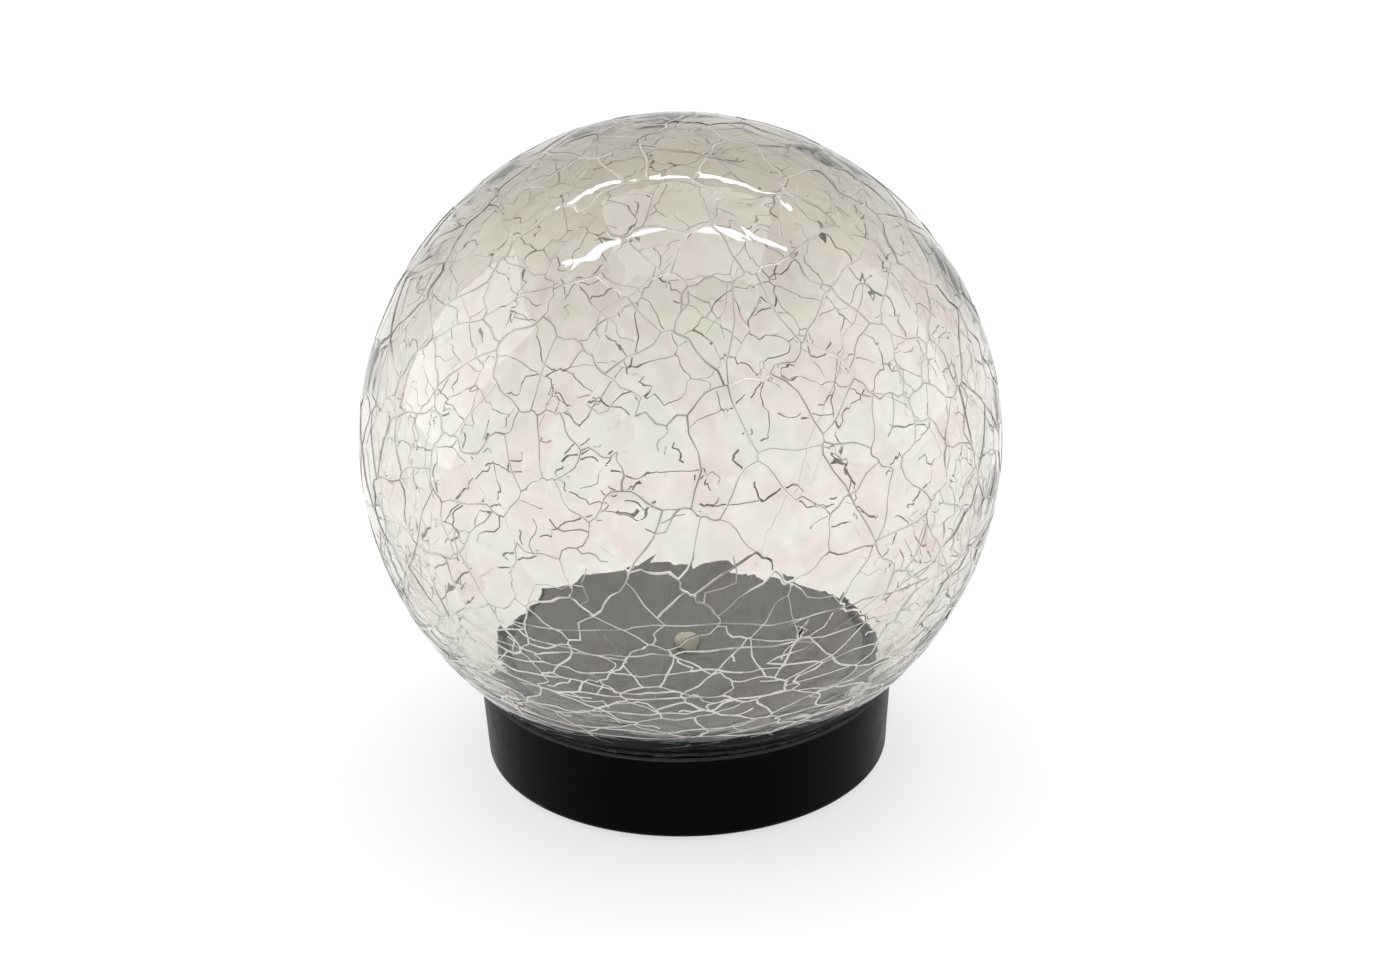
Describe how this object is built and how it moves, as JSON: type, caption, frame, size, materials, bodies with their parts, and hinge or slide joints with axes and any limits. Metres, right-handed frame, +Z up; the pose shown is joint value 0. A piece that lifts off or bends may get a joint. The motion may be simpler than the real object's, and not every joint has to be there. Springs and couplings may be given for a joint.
{
  "type": "garden globe light",
  "caption": "Solar garden light: a clear crackled glass ball on a short round black base, with a round solar panel and a lamp inside the ball and a battery and switch under it.",
  "frame": {"origin": "on the surface it stands on, under the middle of the base", "axes": "+Z up along the ball's axis, front towards -Y, battery behind the middle along X"},
  "size_m": [0.12, 0.12, 0.1257],
  "materials": {
    "crackle_glass": "clear blown glass with a crackle all over it",
    "black_plastic": "satin moulded black",
    "cover_plastic": "fine spark texture, black",
    "black_silicone": "soft, dull",
    "foot_rubber": "dull rubber",
    "clear_tape": "foam adhesive",
    "fibre_board": "green solder mask",
    "silicon": "dark cells with fine fingers",
    "panel_face": "smooth resin over dark cells, grey under a bright sky",
    "lamp_lens": "warm cream lens",
    "tinned_steel": "tinned",
    "zinc_steel": "zinc plated",
    "nickel_plate": "nickel plated",
    "chip_plastic": "moulded",
    "ferrite": "sintered",
    "copper_wire": "enamelled copper",
    "red_insulation": "smooth",
    "black_insulation": "smooth",
    "cell_sleeve": "plain shrink sleeve",
    "switch_plastic": "moulded"
  },
  "bodies": {
    "base": {"glass_globe": "crackle_glass", "globe_seal": "black_silicone", "base_shell": "black_plastic", "panel_tape": "clear_tape", "panel_board": "fibre_board", "solar_cells": "silicon", "panel_resin": "panel_face", "led_lamp": "lamp_lens", "led_leads": "tinned_steel", "circuit_board": "fibre_board", "board_screws": "zinc_steel", "controller_chip": "chip_plastic", "inductor_core": "ferrite", "inductor_winding": "copper_wire", "panel_wires": "red_insulation", "battery_wire_positive": "red_insulation", "battery_wire_negative": "black_insulation", "battery_cell": "cell_sleeve", "positive_contact": "nickel_plate", "negative_contact": "nickel_plate", "contact_spring": "nickel_plate", "base_cover": "cover_plastic", "cover_gasket": "black_silicone", "cover_screws": "zinc_steel", "rubber_feet": "foot_rubber", "switch_frame": "nickel_plate", "switch_screws": "zinc_steel", "switch_body": "switch_plastic", "switch_terminals": "tinned_steel"},
    "door": {"battery_door": "cover_plastic", "door_gasket": "black_silicone", "door_screws": "zinc_steel"},
    "slider": {"switch_knob": "switch_plastic"}
  },
  "joints": [
    {"name": "switch_slide", "type": "slide", "parent": "base", "child": "slider", "axis": [1, 0, 0], "range_m": [0, 0.002]},
    {"name": "door_lift", "type": "slide", "parent": "base", "child": "door", "axis": [0, 0, -1], "range_m": [0, 0.03]}
  ]
}
